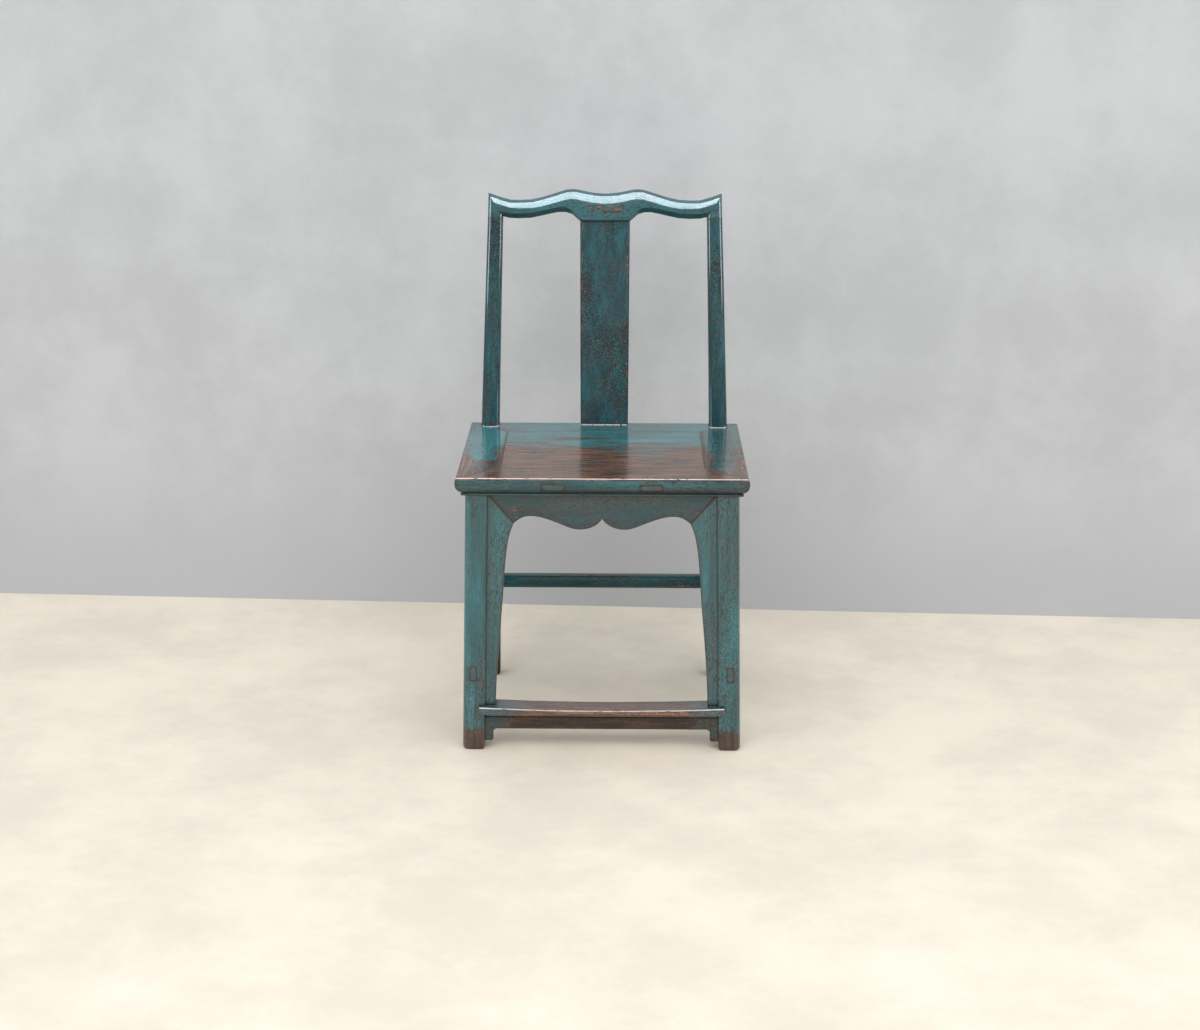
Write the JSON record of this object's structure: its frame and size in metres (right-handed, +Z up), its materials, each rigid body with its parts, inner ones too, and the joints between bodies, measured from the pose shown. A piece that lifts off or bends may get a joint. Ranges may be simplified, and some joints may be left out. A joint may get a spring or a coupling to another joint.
{
  "type": "side chair",
  "caption": "Side chair with a shaped crest rail capping curved posts, a curved splat, a mitred panel seat, a cusped front apron with long spandrels, and stepped stretchers.",
  "frame": {"origin": "on the floor, under the middle of the whole chair's box", "axes": "+X to the right hand of someone facing the chair, +Y to its back, +Z up"},
  "size_m": [0.504, 0.476, 0.9288],
  "materials": {
    "painted_back": "glossy blue-green lacquer, rubbed through to red-brown wood along the edges",
    "painted_base": "satin blue-green lacquer with brown flecks, edges and feet rubbed to the wood",
    "worn_seat": "glossy brown wood with patches of blue-green paint left on it",
    "worn_footrest": "paint worn away in the middle to polished purple-brown wood",
    "bare_wood": "dull bare wood under the seat, painted end grain in the front edge"
  },
  "bodies": {
    "root": {"crest_rail": "painted_back", "footrest": "worn_footrest", "footrest_apron": "painted_base", "front_apron": "painted_base", "left_apron": "painted_base", "left_front_leg": "painted_base", "left_front_spandrel": "painted_base", "left_rear_leg": "painted_back", "left_seat_batten": "bare_wood", "left_stretcher": "painted_base", "rear_apron": "painted_base", "rear_stretcher": "painted_base", "right_apron": "painted_base", "right_front_leg": "painted_base", "right_front_spandrel": "painted_base", "right_rear_leg": "painted_back", "right_seat_batten": "bare_wood", "right_stretcher": "painted_base", "seat_front_rail": "worn_seat", "seat_left_rail": "worn_seat", "seat_panel": "worn_seat", "seat_rear_rail": "worn_seat", "seat_right_rail": "worn_seat", "splat": "painted_back"}
  },
  "joints": []
}
